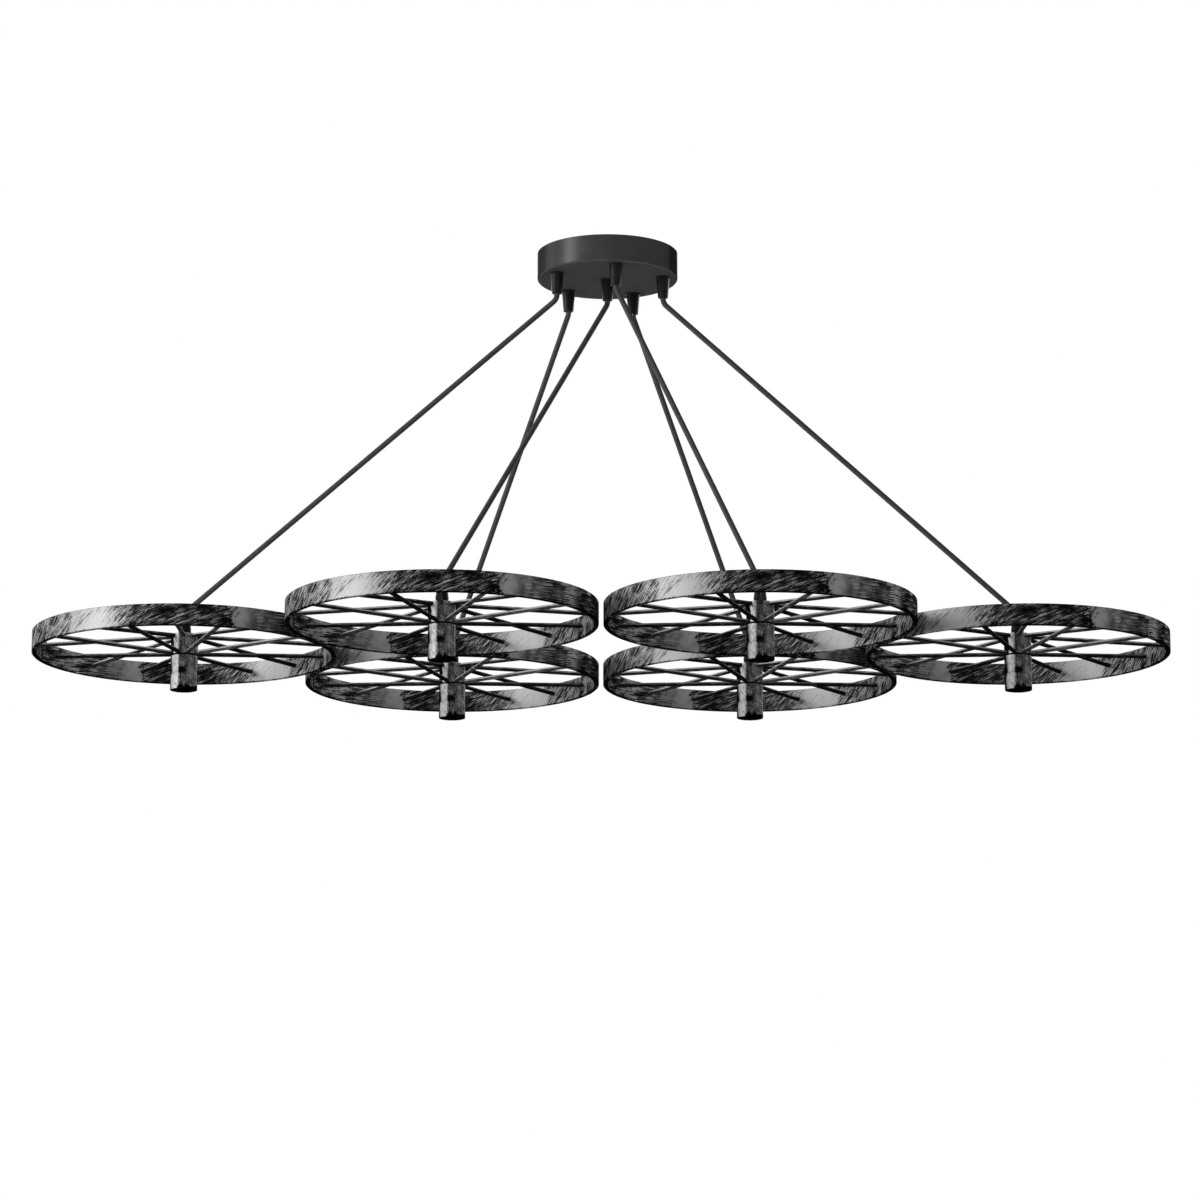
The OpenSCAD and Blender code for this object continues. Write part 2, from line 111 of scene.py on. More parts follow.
class IronSettings(bpy.types.PropertyGroup):
    """The brushed black and silver finish of the wheels, and their welds"""

    paint: FloatVectorProperty(
        name="Paint", description="Black that the brush left", subtype="COLOR",
        size=3, min=0, max=1, default=(0.003, 0.003, 0.003))
    silver: FloatVectorProperty(
        name="Silver", description="Bare brushed metal", subtype="COLOR",
        size=3, min=0, max=1, default=(0.36, 0.36, 0.357))
    # Brighter than the rims' silver, which brightens the painted reflection on the hubs and cups;
    # the spokes' painted light uses it too
    hub_silver: FloatVectorProperty(
        name="Hub silver", description="Bare metal of the hubs, cups and spokes", subtype="COLOR",
        size=3, min=0, max=1, default=(0.5, 0.5, 0.495))
    metallic: FloatProperty(
        name="Metallic", description="How metallic the finish is", default=0.35, min=0, max=1)
    paint_roughness: FloatProperty(
        name="Paint roughness", description="Roughness of the black", default=0.6, min=0, max=1)
    silver_roughness: FloatProperty(
        name="Silver roughness", description="Roughness of the bare metal",
        default=0.48, min=0, max=1)
    rim_thickness: FloatProperty(
        name="Rim thickness", description="Thickness of the rim band", unit="LENGTH",
        default=7 * MM)
    spoke_diameter: FloatProperty(
        name="Spoke diameter", description="Diameter of a spoke", unit="LENGTH", default=6 * MM)
    spoke_inset: FloatProperty(
        name="Spoke inset", description="How far the spokes stay inside the hub's ends",
        unit="LENGTH", default=0.3 * MM)
    weld_width: FloatProperty(
        name="Weld width", description="Width of the bead round a spoke's end", unit="LENGTH",
        default=1.3 * MM)
    weld_offset: FloatProperty(
        name="Weld offset", description="How far the bead's middle stands off the rim",
        unit="LENGTH", default=0.2 * MM)


class CordSettings(bpy.types.PropertyGroup):
    """The cords that the wheels hang by, and the leads inside the canopy"""

    diameter: FloatProperty(
        name="Diameter", description="Diameter of a cord", unit="LENGTH", default=7.8 * MM)
    bend_radius: FloatProperty(
        name="Bend radius", description="Radius of a cord's two bends", unit="LENGTH",
        default=15.6 * MM)
    stub: FloatProperty(
        name="Stub", description="Straight length from the flex point to the bend", unit="LENGTH",
        default=5.5 * MM)
    cover: FloatVectorProperty(
        name="Cover", description="Colour of the cords' cover", subtype="COLOR",
        size=3, min=0, max=1, default=(0.08, 0.08, 0.08))
    lead_diameter: FloatProperty(
        name="Lead diameter", description="Diameter of a lead", unit="LENGTH", default=5 * MM)
    lead_cover: FloatVectorProperty(
        name="Lead cover", description="Colour of the leads' cover", subtype="COLOR",
        size=3, min=0, max=1, default=(0.03, 0.03, 0.03))


class CanopySettings(bpy.types.PropertyGroup):
    """The canopy, the grips and what holds them to the ceiling"""

    paint: FloatVectorProperty(
        name="Paint", description="Satin black of the canopy", subtype="COLOR",
        size=3, min=0, max=1, default=(0.05, 0.05, 0.05))
    # The plate is the same paint as the skirt, coloured lighter as painted light where little light
    # reaches the underside
    plate: FloatVectorProperty(
        name="Plate", description="Flat black of the canopy's bottom plate", subtype="COLOR",
        size=3, min=0, max=1, default=(0.15, 0.15, 0.144))
    moulding: FloatVectorProperty(
        name="Moulding", description="Glossy black of the grips", subtype="COLOR",
        size=3, min=0, max=1, default=(0.008, 0.008, 0.008))
    zinc: FloatVectorProperty(
        name="Zinc", description="Zinc plating of the bracket, nuts and terminal screws",
        subtype="COLOR", size=3, min=0, max=1, default=(0.55, 0.56, 0.57))
    side_screws: FloatVectorProperty(
        name="Side screws", description="Blackened screws in the canopy's skirt",
        subtype="COLOR", size=3, min=0, max=1, default=(0.02, 0.02, 0.02))
    terminal: FloatVectorProperty(
        name="Terminal block", description="Pale plastic of the terminal block",
        subtype="COLOR", size=3, min=0, max=1, default=(0.6, 0.57, 0.5))


class SocketSettings(bpy.types.PropertyGroup):
    """The lamp sockets"""

    thread_pitch: FloatProperty(
        name="Thread pitch", description="Pitch of the screw shell's thread", unit="LENGTH",
        default=3.63 * MM)
    thread_depth: FloatProperty(
        name="Thread depth", description="Depth of the thread", unit="LENGTH", default=0.9 * MM)
    shell_thickness: FloatProperty(
        name="Shell thickness", description="Sheet that the shell is rolled from", unit="LENGTH",
        default=0.35 * MM)
    contact_height: FloatProperty(
        name="Contact height", description="How far the centre contact stands over the shell",
        unit="LENGTH", default=2.5 * MM)
    contact_radius: FloatProperty(
        name="Contact radius", description="Radius of the centre contact at its upper end",
        unit="LENGTH", default=4 * MM)
    turn_steps: IntProperty(
        name="Steps", description="Steps in one turn of the thread", default=48, min=12)
    moulding: FloatVectorProperty(
        name="Moulding", description="Black plastic of the sockets' bodies", subtype="COLOR",
        size=3, min=0, max=1, default=(0.02, 0.02, 0.021))
    brass: FloatVectorProperty(
        name="Brass", description="Colour of the contacts", subtype="COLOR",
        size=3, min=0, max=1, default=(0.72, 0.5, 0.2))


class StageSettings(bpy.types.PropertyGroup):
    """Camera, lights and floor"""

    lens: FloatProperty(
        name="Lens", description="Focal length on a 36 mm sensor", unit="CAMERA", default=130.7)
    camera_place: FloatVectorProperty(
        name="Camera", description="Where the camera stands", subtype="TRANSLATION", unit="LENGTH",
        size=3, default=(-0.0107, -5.9828, -1.7927))
    pitch: FloatProperty(
        name="Pitch", description="How far the camera looks up", subtype="ANGLE",
        default=math.radians(12.147))
    floor_drop: FloatProperty(
        name="Floor", description="Depth of the floor under the ceiling", unit="LENGTH",
        default=2.6)
    floor_colour: FloatVectorProperty(
        name="Floor colour", description="Pale floor", subtype="COLOR",
        size=3, min=0, max=1, default=(0.86, 0.86, 0.86))
    floor_glow: FloatProperty(
        name="Floor glow", description="How much paler the floor is made where it is seen",
        default=0.7, min=0)
    room_light: FloatProperty(
        name="Room light", description="Even light from all round", default=0.14, min=0)


# ---- wiring of node trees ----

class Wiring:
    """Adds nodes to one tree and joins them."""

    def __init__(self, tree):
        self.tree = tree

    def feed(self, socket, value):
        """Joins a socket, or sets it to a plain value."""
        if isinstance(value, bpy.types.NodeSocket):
            self.tree.links.new(value, socket)
        else:
            socket.default_value = value

    def node(self, kind, inputs=None, **settings):
        """A new node with its inputs fed and its settings set."""
        node = self.tree.nodes.new(kind)
        for name, value in settings.items():
            setattr(node, name, value)
        for name, value in (inputs or {}).items():
            self.feed(node.inputs[name], value)
        return node

    def math(self, operation, *values, clamp=False):
        """The outcome of one sum."""
        node = self.node("ShaderNodeMath", operation=operation, use_clamp=clamp)
        for socket, value in zip(node.inputs, values):
            self.feed(socket, value)
        return node.outputs[0]

    def ramp(self, factor, stops, interpolation="LINEAR"):
        """Grey levels or colours along a factor, from (position, level) pairs."""
        node = self.node("ShaderNodeValToRGB", {"Fac": factor})
        ramp = node.color_ramp
        ramp.interpolation = interpolation
        while len(ramp.elements) < len(stops):
            ramp.elements.new(1)
        for element, (position, level) in zip(ramp.elements, stops):
            element.position = position
            element.color = (*level, 1) if hasattr(level, "__len__") else (level, level, level, 1)
        return node.outputs["Color"]

    def noise(self, vector, scale, detail=3.0, roughness=0.55):
        """Noise round 0.5 at a place."""
        node = self.node("ShaderNodeTexNoise", {"Vector": vector, "Scale": scale, "Detail": detail,
                                                "Roughness": roughness})
        return node.outputs["Fac"]

    def swayed(self, value, noise, amount, clamp=False):
        """A value that noise round 0.5 moves up and down."""
        return self.math("MULTIPLY_ADD", self.math("SUBTRACT", noise, 0.5), amount, value,
                         clamp=clamp)

    def mixed(self, factor, a, b):
        """Between two levels or sockets of levels."""
        node = self.node("ShaderNodeMix")
        self.feed(node.inputs["Factor"], factor)
        self.feed(node.inputs["A"], a)
        self.feed(node.inputs["B"], b)
        return node.outputs["Result"]

    def mixed_colour(self, factor, a, b):
        """Between two colours or sockets of colours."""
        node = self.node("ShaderNodeMix", data_type="RGBA")
        first, second = [s for s in node.inputs if s.type == "RGBA"]
        self.feed(node.inputs["Factor"], factor)
        for socket, value in ((first, a), (second, b)):
            self.feed(socket, (*value, 1) if not isinstance(value, bpy.types.NodeSocket) else value)
        return [s for s in node.outputs if s.type == "RGBA"][0]

    def step(self, value, low, high):
        """0 at low and 1 at high, smooth between."""
        node = self.node("ShaderNodeMapRange", {"Value": value, "From Min": low, "From Max": high},
                         interpolation_type="SMOOTHSTEP")
        return node.outputs["Result"]

    def parts(self, vector):
        """The X, Y and Z of a vector, by name."""
        return self.node("ShaderNodeSeparateXYZ", {"Vector": vector}).outputs

    def combined(self, x, y, z):
        """A vector from its X, Y and Z."""
        return self.node("ShaderNodeCombineXYZ", {"X": x, "Y": y, "Z": z}).outputs["Vector"]

    def millimetres(self, centre=(0, 0, 0)):
        """Object coordinates in millimetres from a centre."""
        place = self.node("ShaderNodeTexCoord").outputs["Object"]
        node = self.node("ShaderNodeMapping", {"Vector": place})
        node.inputs["Location"].default_value = [-c / MM for c in centre]
        node.inputs["Scale"].default_value = (1 / MM,) * 3
        return node.outputs["Vector"]

    def bump(self, height, distance, strength):
        """A normal that leans with a height."""
        node = self.node("ShaderNodeBump", {"Height": height, "Distance": distance,
                                            "Strength": strength})
        return node.outputs["Normal"]


def new_material(name, metallic=0.0, specular=0.5, edge=1.0):
    """A material, its wiring and its shader. The edge is how bright metal reflects at its rim."""
    material = bpy.data.materials.new(name)
    material.use_nodes = True
    tree = material.node_tree
    tree.nodes.clear()
    wiring = Wiring(tree)
    shader = wiring.node("ShaderNodeBsdfPrincipled", {
        "Metallic": metallic, "Specular IOR Level": specular,
        "Specular Tint": (edge, edge, edge, 1)})
    wiring.node("ShaderNodeOutputMaterial", {"Surface": shader.outputs["BSDF"]})
    return material, wiring, shader


STROKE_INPUTS = ("Angle", "Height", "Turns", "Rise", "Across", "Along", "Seed")
# Turns, Rise, Across, Along and Seed of each kind of stroke
STROKES = {
    "rim steep": (26.0, 0.13, 4.2, 16.0, 3.0),
    "rim shallow": (14.0, 0.17, 4.8, 13.0, 9.0),
    "rim level": (3.0, 0.2, 4.4, 8.0, 17.0),
    "hub slanted": (5.0, 0.24, 1.5, 4.0, 5.0),
    "hub upright": (12.0, 0.04, 0.9, 2.0, 11.0),
}


def stroke_group():
    """Brush strokes round a turned surface, without a seam. Turns and Rise set their slope,
    Across and Along how fine they are."""
    name = "Brush strokes"
    if name in bpy.data.node_groups:
        return bpy.data.node_groups[name]
    tree = bpy.data.node_groups.new(name, "ShaderNodeTree")
    for socket in STROKE_INPUTS:
        tree.interface.new_socket(socket, in_out="INPUT", socket_type="NodeSocketFloat")
    tree.interface.new_socket("Strokes", in_out="OUTPUT", socket_type="NodeSocketFloat")
    w = Wiring(tree)
    given = w.node("NodeGroupInput").outputs
    phase = w.math("ADD", w.math("MULTIPLY", given["Angle"], given["Turns"]),
                   w.math("MULTIPLY", given["Height"], given["Rise"]))
    vector = w.combined(
        w.math("MULTIPLY", w.math("COSINE", phase), given["Across"]),
        w.math("MULTIPLY", w.math("SINE", phase), given["Across"]),
        w.math("MULTIPLY_ADD", w.math("COSINE", given["Angle"]), given["Along"], given["Seed"]))
    fourth = w.math("MULTIPLY", w.math("SINE", given["Angle"]), given["Along"])
    noise = w.node("ShaderNodeTexNoise", {"Scale": 1.0, "Detail": 3.0, "Roughness": 0.62},
                   noise_dimensions="4D")
    w.feed(noise.inputs["Vector"], vector)
    w.feed(noise.inputs["W"], fourth)
    w.node("NodeGroupOutput", {"Strokes": noise.outputs["Fac"]})
    return tree


def strokes(w, angle, height, kind):
    """The level of one kind of brush stroke."""
    values = (angle, height, *STROKES[kind])
    node = w.node("ShaderNodeGroup", dict(zip(STROKE_INPUTS, values)), node_tree=stroke_group())
    return node.outputs["Strokes"]


# ---- finishes ----

# Greys of a brush level between paint and bare metal
BRUSH_GREYS = [(0.2, 0.012), (0.4, 0.05), (0.6, 0.14), (0.8, 0.3)]
# How bright the iron reflects at grazing angles
IRON_EDGE = 0.15

# How much bare silver and painted reflection show round a rim, from one end of the half that is
# seen to the other
# The patch near 0.3 is partly a painted reflection of the tall soft light on the left, and the
# narrow band near 0.81 is a painted highlight
RIM_SILVER_AND_REFLECTION = [(0.0, 0.28), (0.07, 0.28), (0.11, 0.42), (0.16, 0.34), (0.22, 0.38), (0.265, 0.62),
             (0.29, 0.86), (0.35, 0.86), (0.38, 0.56), (0.42, 0.38), (0.46, 0.26), (0.50, 0.18),
             (0.60, 0.15), (0.620, 0.16), (0.629, 0.68), (0.655, 0.64), (0.668, 0.52), (0.71, 0.48),
             (0.735, 0.32), (0.785, 0.28), (0.81, 0.66), (0.84, 0.28), (0.95, 0.20), (1.0, 0.26)]
# How strongly the strokes show along the same way
RIM_CONTRAST = [(0.0, 0.9), (0.25, 0.9), (0.29, 0.5), (0.35, 0.5), (0.38, 1.0), (0.45, 0.9),
                (0.55, 0.6), (0.62, 0.6), (0.625, 0.2), (0.70, 0.3), (0.74, 0.6), (1.0, 0.6)]
# Where the strokes are shallow, and where they are level
SHALLOW_PART = [(0.38, 0.0), (0.5, 1.0), (0.62, 1.0), (0.63, 0.0)]
LEVEL_PART = [(0.0, 0.0), (0.60, 0.0), (0.72, 1.0), (0.96, 1.0), (1.0, 0.0)]
# What the cover gains or loses in a rim's lower half, and on its inner face
LOWER_SHADE = [(0.40, 0.0), (0.47, -0.34), (0.61, -0.34), (0.625, 0.0)]
INSIDE_SHADE = [(0.62, 0.0), (0.63, -0.46), (0.71, -0.28), (0.735, 0.0), (0.79, 0.06),
                (0.81, -0.3), (0.85, 0.12), (0.90, 0.05), (1.0, 0.05)]
# Heights in millimetres between which a rim's lower half and the painted shade at its foot begin
LOWER_FADE = (3.0, -6.0)
FOOT_FADE = (1.2, 0.4)
# How much the painted shade on the rim's underside and lowest edge takes from the brush level
FOOT_PAINTED_SHADE = -0.6
# How far blotches and strokes move the patches' ends, as a share of the half turn
RIM_BLOTCH_SHIFT = 0.06
RIM_STROKE_SHIFT = 0.15
# How much the cover, the strokes and the blotches count in a rim's brush level
RIM_WEIGHTS = (1.3, 7.5, 1.1)

# The same for a hub and its lamp cup. Their silver strip, from about 0.17 to 0.36, is partly a
# painted reflection of the tall soft light on the left
HUB_SILVER_AND_REFLECTION = [(0.0, 0.12), (0.12, 0.16), (0.165, 0.60), (0.22, 0.74), (0.36, 0.76), (0.395, 0.50),
             (0.42, 0.32), (0.48, 0.34), (0.55, 0.44), (0.66, 0.50), (0.75, 0.48), (0.84, 0.46),
             (0.89, 0.66), (0.93, 0.52), (1.0, 0.36)]
HUB_BLOTCH_SHIFT = 0.09
HUB_WEIGHTS = (1.25, 2.4, 0.8)
# Distances in millimetres over which the black at the seam, the mouth and the blotches begins
SEAM_FADE = (1.6, 0.5)
MOUTH_FADE = (4.5, 1.5)
BLOTCH_FADE = (7.0, 0.5)
# Where the blotches lie over the wheel's middle, and how much their edges wave, in millimetres
BLOTCH_HEIGHT = -38.0
BLOTCH_WAVE = 9.0
BLOTCH_DARKNESS = 0.8

# Painted light and shade of each spoke, counted from +X towards +Y: how bright it is, and how
# strong the painted highlight on its upper side is
PAINTED_SPOKE_LIGHT = (0.24, 0.16, 0.12, 0.18, 0.14, 0.2, 0.42, 0.18,
                0.42, 0.3, 0.16, 0.2, 0.4, 0.5, 0.34, 0.6)
# How fine the grain is along, round and up a spoke
SPOKE_GRAIN = (0.08, 40.0, 0.9)

# Heights over the canopy's foot, in millimetres, between which its plate's lighter colour, painted
# light on the underside, begins
PLATE_FADE = (0.6, 0.1)
# How far under the hub's upper end the nut begins, in millimetres
NUT_DEPTH = 5.0
HUB_GRIP_GLOSS = 0.04
CANOPY_GRIP_GLOSS = 0.1


def iron_material(piece, place, settings):
    """The material, wiring and shader of a brushed iron piece."""
    return new_material("Brushed " + piece + " " + place.replace("_", " "),
                        settings.metallic, 0.0, IRON_EDGE)


def iron_shader(w, shader, level, settings, silver):
    """Turns a brush level, from 0 for paint to 1 for bare metal and painted reflection, into colour
    and gloss.
    """
    w.feed(shader.inputs["Base Color"],
           w.ramp(level, [(0.0, settings.paint), *BRUSH_GREYS, (1.0, silver)]))
    w.feed(shader.inputs["Roughness"],
           w.mixed(w.step(level, 0.2, 0.8), settings.paint_roughness, settings.silver_roughness))


def round_coordinates(w, centre):
    """Angle about a wheel's axis, distance from it, and height."""
    parts = w.parts(w.millimetres(centre))
    angle = w.math("ARCTAN2", parts["Y"], parts["X"])
    radius = w.math("SQRT", w.math("ADD", w.math("MULTIPLY", parts["X"], parts["X"]),
                                   w.math("MULTIPLY", parts["Y"], parts["Y"])))
    return angle, radius, parts["Z"]


def half_turn_share(w, angle, inner):
    """0 to 1 over each half of the surface, from the left end as seen square on."""
    facing = w.math("ADD", w.math("DIVIDE", angle, math.pi), inner)
    return w.math("FRACT", w.math("ADD", facing, 4.0))


def rim_grain(w, angle, radius, height, inner, share, coordinates):
    """The strokes round a rim. They lean the other way on its inner face."""
    lean = w.math("MULTIPLY", w.math("ADD", height, radius),
                  w.math("MULTIPLY_ADD", inner, 2.0, -1.0))
    steep, shallow, streaks = [strokes(w, angle, lean, kind)
                               for kind in ("rim steep", "rim shallow", "rim level")]
    speckle = w.noise(coordinates, 0.5, 3.0)
    slanting = w.mixed(w.ramp(share, SHALLOW_PART), steep, shallow)
    grain = w.mixed(w.ramp(share, LEVEL_PART), slanting, streaks)
    return w.math("SUBTRACT", w.mixed(0.2, grain, speckle), 0.5)


def rim_shade(w, ragged, inner, height):
    """What the lower half, the painted shade at the foot and the inner face add to a rim's brush
    level.
    """
    foot = -HALF_HEIGHT / MM
    lower = w.math("MULTIPLY", w.step(height, *LOWER_FADE), w.ramp(ragged, LOWER_SHADE))
    # Painted shade on the rim's underside and its lowest edge
    edge = w.step(height, foot + FOOT_FADE[0], foot + FOOT_FADE[1])
    return w.math("MULTIPLY_ADD", inner, w.ramp(ragged, INSIDE_SHADE),
                  w.math("MULTIPLY_ADD", edge, FOOT_PAINTED_SHADE, lower))


def rim_finish(place, settings):
    """Silver patch that is partly a painted reflection, diagonal strokes that thin out to black,
    and level streaks at the end.
    """
    material, w, shader = iron_material("rim", place, settings)
    cover_weight, stroke_weight, blotch_weight = RIM_WEIGHTS
    angle, radius, height = round_coordinates(w, wheel_centre(place))
    coordinates = w.millimetres(wheel_centre(place))
    inner = w.math("LESS_THAN", radius, (RIM_RADIUS - settings.rim_thickness / 2) / MM)
    share = half_turn_share(w, angle, inner)
    blotches = w.noise(coordinates, 0.06, 2.0)
    grain = rim_grain(w, angle, radius, height, inner, share, coordinates)
    ragged = w.swayed(share, blotches, RIM_BLOTCH_SHIFT)
    ragged = w.math("MULTIPLY_ADD", grain, RIM_STROKE_SHIFT, ragged)
    contrast = w.math("MULTIPLY", w.ramp(share, RIM_CONTRAST), stroke_weight)
    level = w.math("MULTIPLY_ADD", w.ramp(ragged, RIM_SILVER_AND_REFLECTION), cover_weight,
                   rim_shade(w, ragged, inner, height))
    level = w.math("ADD", level, w.math("MULTIPLY", grain, contrast))
    level = w.swayed(level, blotches, blotch_weight, clamp=True)
    iron_shader(w, shader, level, settings, settings.silver)
    w.feed(shader.inputs["Normal"], w.bump(grain, 0.12 * MM, 0.4))
    return material


def hub_finish(place, settings):
    """A silver strip that is partly a painted reflection, with dark blotches on it, and slanting
    and upright streaks beside it.
    """
    material, w, shader = iron_material("hub", place, settings)
    cover_weight, stroke_weight, blotch_weight = HUB_WEIGHTS
    angle, radius, height = round_coordinates(w, wheel_centre(place))
    coordinates = w.millimetres(wheel_centre(place))
    share = half_turn_share(w, angle, 0.0)
    blotches = w.noise(coordinates, 0.13, 3.0)
    ragged = w.swayed(share, blotches, HUB_BLOTCH_SHIFT)
    slanted, upright = [strokes(w, angle, height, kind) for kind in ("hub slanted", "hub upright")]
    flecks = w.noise(coordinates, 0.55, 2.0)
    grain = w.math("SUBTRACT", w.mixed(0.3, w.mixed(0.45, slanted, upright), flecks), 0.5)
    level = w.math("MULTIPLY_ADD", w.ramp(ragged, HUB_SILVER_AND_REFLECTION), cover_weight,
                   w.math("MULTIPLY", grain, stroke_weight))
    level = w.swayed(level, blotches, blotch_weight)
    for shade in hub_shades(w, share, ragged, radius, height, blotches):
        level = w.math("SUBTRACT", level, shade)
    iron_shader(w, shader, w.math("MAXIMUM", level, 0.0, clamp=True), settings,
                settings.hub_silver)
    w.feed(shader.inputs["Normal"], w.bump(grain, 0.08 * MM, 0.4))
    return material


def hub_shades(w, share, ragged, radius, height, blotches):
    """Where a hub or cup is black: inside, at the seam, above the mouth, in two blotches, and above
    the seam at the left, where the painted reflection is cut back."""
    foot = -HALF_HEIGHT / MM
    inside = w.math("LESS_THAN", radius, HUB_RADIUS / MM - 1.0)
    seam = w.step(w.math("ABSOLUTE", w.math("SUBTRACT", height, foot)), *SEAM_FADE)
    wave = w.math("MULTIPLY", w.math("SUBTRACT", blotches, 0.5), BLOTCH_WAVE)
    from_mouth = w.math("ADD", w.math("SUBTRACT", height, CUP_MOUTH / MM), wave)
    mouth = w.math("MULTIPLY", w.step(from_mouth, *MOUTH_FADE), w.step(share, 0.33, 0.42))
    from_middle = w.math("ADD", w.math("SUBTRACT", height, BLOTCH_HEIGHT), wave)
    band = w.math("MULTIPLY", w.step(w.math("ABSOLUTE", from_middle), *BLOTCH_FADE),
                  BLOTCH_DARKNESS)
    left = w.math("MULTIPLY", band, w.step(ragged, 0.28, 0.16))
    right = w.math("MULTIPLY", band, w.math("MULTIPLY", w.step(ragged, 0.36, 0.44),
                                            w.step(ragged, 0.66, 0.46)))
    upper = w.math("MULTIPLY", w.step(height, foot, foot + 2), w.step(ragged, 0.26, 0.22))
    return inside, seam, mouth, left, right, w.math("MULTIPLY", upper, BLOTCH_DARKNESS)


def spoke_finish(place, settings):
    """Nearly black rods with painted light: each spoke lighter or darker by its turn, and a painted
    highlight on the upper side of a few.
    """
    material, w, shader = iron_material("spokes", place, settings)
    angle, radius, height = round_coordinates(w, wheel_centre(place))
    along, round_it, up = SPOKE_GRAIN
    count = len(PAINTED_SPOKE_LIGHT)
    turn = w.math("FRACT", w.math("ADD", w.math("DIVIDE", angle, 2 * math.pi), 1 + 0.5 / count))
    # Each spoke's painted light and shade, by its turn about the hub
    shade = w.ramp(turn, [(k / count, s) for k, s in enumerate(PAINTED_SPOKE_LIGHT)], "CONSTANT")
    grain = w.noise(w.combined(w.math("MULTIPLY", radius, along),
                               w.math("MULTIPLY", angle, round_it),
                               w.math("MULTIPLY", height, up)), 1.0)
    upward = w.parts(w.node("ShaderNodeTexCoord").outputs["Normal"])["Z"]
    # Painted highlight along the spokes' upper sides, where the lights fall, stronger on the
    # brighter spokes
    painted_highlight = w.math("MULTIPLY", w.step(upward, 0.0, 0.3), w.math("MULTIPLY_ADD", shade, 2.0, 0.1))
    level = w.math("MULTIPLY_ADD", shade, 0.7, painted_highlight)
    level = w.swayed(level, grain, 1.2, clamp=True)
    iron_shader(w, shader, level, settings, settings.hub_silver)
    w.feed(shader.inputs["Normal"], w.bump(grain, 0.05 * MM, 0.5))
    return material


def canopy_finish(settings):
    """Satin black paint with the faint orange peel of a sprayed coat, and a plate coloured lighter
    as painted light on the underside.
    """
    material, w, shader = new_material("Satin black paint", 0.5, 0.0, 0.1)
    place = w.millimetres()
    peel = w.noise(place, 0.9, 2.0)
    cloud = w.noise(place, 0.03, 2.0)
    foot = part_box("canopy_shell")[0].z / MM
    # The plate gets a lighter colour, as painted light on the underside
    plate = w.step(w.parts(place)["Z"], foot + PLATE_FADE[0], foot + PLATE_FADE[1])
    skirt = w.ramp(cloud, [(0.3, [c * 0.9 for c in settings.paint]),
                           (0.7, [c * 1.1 for c in settings.paint])])
    w.feed(shader.inputs["Base Color"], w.mixed_colour(plate, skirt, settings.plate))
    w.feed(shader.inputs["Roughness"], w.mixed(peel, 0.32, 0.4))
    w.feed(shader.inputs["Normal"], w.bump(peel, 0.02 * MM, 0.4))
    return material


def grip_finish(name, place, specular, settings):
    """Glossy black moulding, and zinc plating on the nut inside the hub."""
    material, w, shader = new_material(name + " " + place.replace("_", " "), 0.0, specular)
    coordinates = w.millimetres(wheel_centre(place))
    nut = w.math("LESS_THAN", w.parts(coordinates)["Z"], HALF_HEIGHT / MM - NUT_DEPTH)
    grain = w.noise(coordinates, 0.8, 3.0)
    w.feed(shader.inputs["Base Color"],
           w.ramp(nut, [(0.0, settings.moulding), (1.0, settings.zinc)]))
    w.feed(shader.inputs["Roughness"], w.mixed(grain, 0.26, 0.34))
    w.feed(shader.inputs["Normal"], w.bump(grain, 0.02 * MM, 0.3))
    return material


def moulded_finish(name, colour, roughness, specular=0.3):
    """Moulded plastic with a faint grain."""
    material, w, shader = new_material(name, 0.0, specular)
    place = w.millimetres()
    grain = w.noise(place, 1.2, 3.0)
    w.feed(shader.inputs["Base Color"], w.ramp(w.noise(place, 0.1, 2.0), [
        (0.3, [c * 0.88 for c in colour]), (0.7, [min(1, c * 1.12) for c in colour])]))
    w.feed(shader.inputs["Roughness"], w.mixed(grain, roughness - 0.06, roughness + 0.06))
    w.feed(shader.inputs["Normal"], w.bump(grain, 0.01 * MM, 0.4))
    return material


def plated_finish(name, colour, roughness):
    """Bright metal with fine scratches and cloudy stains."""
    material, w, shader = new_material(name, 1.0)
    place = w.millimetres()
    stain = w.noise(place, 0.12, 4.0)
    w.feed(shader.inputs["Base Color"], w.ramp(stain, [
        (0.3, [c * 0.7 for c in colour]), (0.65, colour)]))
    scratch = w.noise(place, 2.5, 4.0, 0.7)
    w.feed(shader.inputs["Roughness"], w.mixed(scratch, roughness - 0.1, roughness + 0.12))
    w.feed(shader.inputs["Normal"], w.bump(scratch, 0.01 * MM, 0.5))
    return material


# ---- meshes and pieces ----

def give(node, material):
    """Puts a material on a CAD node."""
    mesh = frame["nodes"][node].data
    mesh.materials.clear()
    mesh.materials.append(material)


def new_piece(name, bm, material, body):
    """Makes a bmesh a piece of the object, which rides on a body."""
    mesh = bpy.data.meshes.new(name)
    bm.to_mesh(mesh)
    bm.free()
    mesh.shade_smooth()
    mesh.set_sharp_from_angle(angle=math.radians(35))
    mesh.materials.append(material)
    piece = bpy.data.objects.new(name, mesh)
    bpy.context.scene.collection.objects.link(piece)
    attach(piece, body)
    return piece


def line_of(bm, points):
    """Vertices joined in a row by edges. Gives both."""
    row = [bm.verts.new(p) for p in points]
    return row + [bm.edges.new(pair) for pair in zip(row, row[1:])]


def edges_of(verts):
    """The edges that meet in any of the vertices."""
    return list({e for v in verts for e in v.link_edges})


def faces_of(verts):
    """The faces that meet in any of the vertices."""
    return list({f for v in verts for f in v.link_faces})


def bevelled(bm, edges, width, segments=2):
    """Rounds edges off."""
    bmesh.ops.bevel(bm, geom=edges, offset=width, segments=segments, affect="EDGES",
                    profile=0.5, material=-1)


